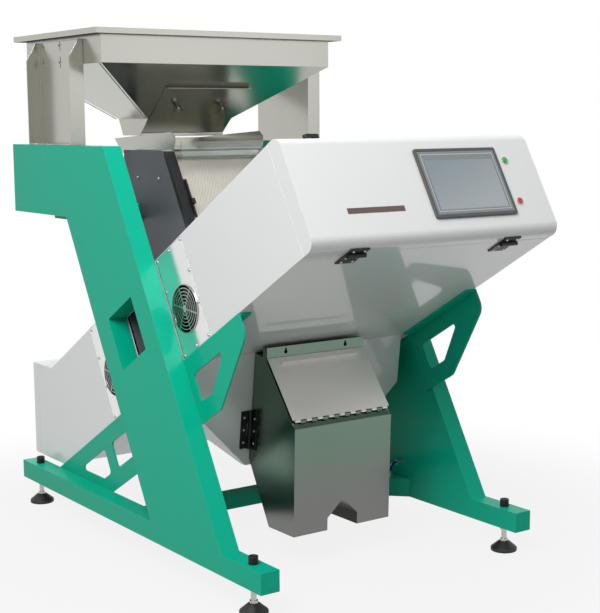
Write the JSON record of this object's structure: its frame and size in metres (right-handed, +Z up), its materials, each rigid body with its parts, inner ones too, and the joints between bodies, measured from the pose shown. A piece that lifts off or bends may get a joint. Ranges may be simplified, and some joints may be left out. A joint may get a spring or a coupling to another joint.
{
  "type": "optical colour sorter",
  "caption": "Free-standing optical grain sorter: leaning side frames carry optical boxes, a hopper, a feeder, a chute and a hinged outlet.",
  "frame": {"origin": "on the floor, under the middle of the machine's box", "axes": "+X to the right of someone facing the operator panel's side from the front, +Y to the back, +Z up"},
  "size_m": [0.995, 1.6756, 1.587],
  "materials": {
    "green_paint": "smooth semi-gloss green paint",
    "white_paint": "fine-textured white powder coat",
    "stainless": "brushed stainless sheet",
    "polished_sheet": "polished stainless sheet",
    "chute_steel": "ribbed anodised aluminium",
    "grey_sheet": "dark grey paint",
    "zinc": "bright zinc plate",
    "black_plastic": "black moulded plastic",
    "foot_rubber": "black rubber",
    "camera_body": "black anodised",
    "lamp_tube": "frosted tube",
    "valve_block": "machined",
    "window_glass": "clear",
    "clear_plastic": "clear acrylic",
    "feeder_iron": "painted casting",
    "spring_leaf": "glass-fibre leaf",
    "blue_hose": "blue hose",
    "panel_bezel": "dark grey bezel",
    "panel_screen": "unlit screen",
    "strip_lens": "dark translucent lens",
    "start_green": "green cap",
    "stop_red": "red cap"
  },
  "bodies": {
    "stand": {"left_frame": "green_paint", "right_frame": "green_paint", "cross_beam": "green_paint", "front_brackets": "green_paint", "rear_brackets": "green_paint", "foot_pads": "foot_rubber", "foot_studs": "zinc", "foot_caps": "black_plastic", "front_box": "white_paint", "rear_box": "white_paint", "chamber": "white_paint", "partitions": "grey_sheet", "glass_panes": "window_glass", "fan_panels": "polished_sheet", "fan_guards": "zinc", "fan_housings": "black_plastic", "panel_screws": "zinc", "cameras": "camera_body", "lamp_bars": "lamp_tube", "ejector": "valve_block", "funnel": "white_paint", "hopper": "stainless", "hopper_legs": "stainless", "gate_studs": "zinc", "feeder_deck": "green_paint", "feeder_base": "feeder_iron", "feeder_springs": "spring_leaf", "feeder_magnet": "feeder_iron", "chute": "chute_steel", "chute_lip": "stainless", "chute_cheeks": "grey_sheet", "chute_rails": "black_plastic", "splash_guard": "clear_plastic", "chute_clip": "black_plastic", "air_hose": "blue_hose", "air_fittings": "zinc", "hinge_leaves": "black_plastic"},
    "front_door": {"front_door": "white_paint", "door_hinge_flaps": "black_plastic", "hmi_bezel": "panel_bezel", "hmi_screen": "panel_screen", "status_strip": "strip_lens", "button_bezels": "zinc"},
    "start_button": {"start_button": "start_green"},
    "stop_button": {"stop_button": "stop_red"},
    "door_latch": {"door_latch": "black_plastic"},
    "rear_door": {"rear_door": "white_paint", "rear_hinge_flaps": "black_plastic"},
    "hopper_gate": {"hopper_gate": "stainless"},
    "gate_nut_left": {"gate_nut_left": "zinc"},
    "gate_nut_right": {"gate_nut_right": "zinc"},
    "feeder_tray": {"feeder_tray": "stainless"},
    "outlet": {"outlet": "stainless", "outlet_hinge_flap": "black_plastic"},
    "outlet_lid": {"outlet_lid": "stainless"},
    "rotor_front_left": {"rotor_front_left": "black_plastic"},
    "rotor_front_right": {"rotor_front_right": "black_plastic"},
    "rotor_rear_left": {"rotor_rear_left": "black_plastic"},
    "rotor_rear_right": {"rotor_rear_right": "black_plastic"}
  },
  "joints": [
    {"name": "front_door_hinge", "type": "hinge", "parent": "stand", "child": "front_door", "pos_m": [0, -0.81015, 0.96488], "axis": [1, 0, 0], "range_deg": [0, 110]},
    {"name": "start_press", "type": "slide", "parent": "front_door", "child": "start_button", "axis": [0, 0.866, -0.5], "range_m": [0, 0.003], "stiffness_N_per_m": 250},
    {"name": "stop_press", "type": "slide", "parent": "front_door", "child": "stop_button", "axis": [0, 0.866, -0.5], "range_m": [0, 0.003], "stiffness_N_per_m": 250},
    {"name": "door_latch_turn", "type": "hinge", "parent": "front_door", "child": "door_latch", "pos_m": [-0.3, -0.65731, 1.25111], "axis": [0, 0.5, 0.866], "range_deg": [0, 90]},
    {"name": "rear_door_hinge", "type": "hinge", "parent": "stand", "child": "rear_door", "pos_m": [0.432, 0.79757, 0.3135], "axis": [0, 0, -1], "range_deg": [0, 110]},
    {"name": "gate_slide", "type": "slide", "parent": "stand", "child": "hopper_gate", "axis": [0, -0.7615, 0.6481], "range_m": [0, 0.05]},
    {"name": "gate_nut_left_turn", "type": "hinge", "parent": "stand", "child": "gate_nut_left", "pos_m": [-0.085, 0.38941, 1.3604], "axis": [0, -0.6481, -0.7615], "continuous": true},
    {"name": "gate_nut_right_turn", "type": "hinge", "parent": "stand", "child": "gate_nut_right", "pos_m": [0.085, 0.38941, 1.3604], "axis": [0, -0.6481, -0.7615], "continuous": true},
    {"name": "tray_shake", "type": "slide", "parent": "stand", "child": "feeder_tray", "axis": [0, -0.9397, 0.342], "range_m": [-0.0015, 0.0015], "stiffness_N_per_m": 60000, "springref_m": 0.0004, "deforming": ["feeder_springs"]},
    {"name": "rotor_front_left_spin", "type": "hinge", "parent": "stand", "child": "rotor_front_left", "pos_m": [-0.424, -0.22323, 0.77845], "axis": [-1, 0, 0], "continuous": true},
    {"name": "rotor_front_right_spin", "type": "hinge", "parent": "stand", "child": "rotor_front_right", "pos_m": [0.424, -0.22323, 0.77845], "axis": [1, 0, 0], "continuous": true},
    {"name": "rotor_rear_left_spin", "type": "hinge", "parent": "stand", "child": "rotor_rear_left", "pos_m": [-0.424, 0.21887, 0.5232], "axis": [-1, 0, 0], "continuous": true},
    {"name": "rotor_rear_right_spin", "type": "hinge", "parent": "stand", "child": "rotor_rear_right", "pos_m": [0.424, 0.21887, 0.5232], "axis": [1, 0, 0], "continuous": true},
    {"name": "outlet_swing", "type": "hinge", "parent": "stand", "child": "outlet", "pos_m": [-0.186, -0.18135, 0.386], "axis": [0, 0.1236, -0.9923], "range_deg": [0, 45]},
    {"name": "outlet_lid_hinge", "type": "hinge", "parent": "outlet", "child": "outlet_lid", "pos_m": [0, -0.39789, 0.446], "axis": [1, 0, 0], "range_deg": [0, 100]}
  ]
}
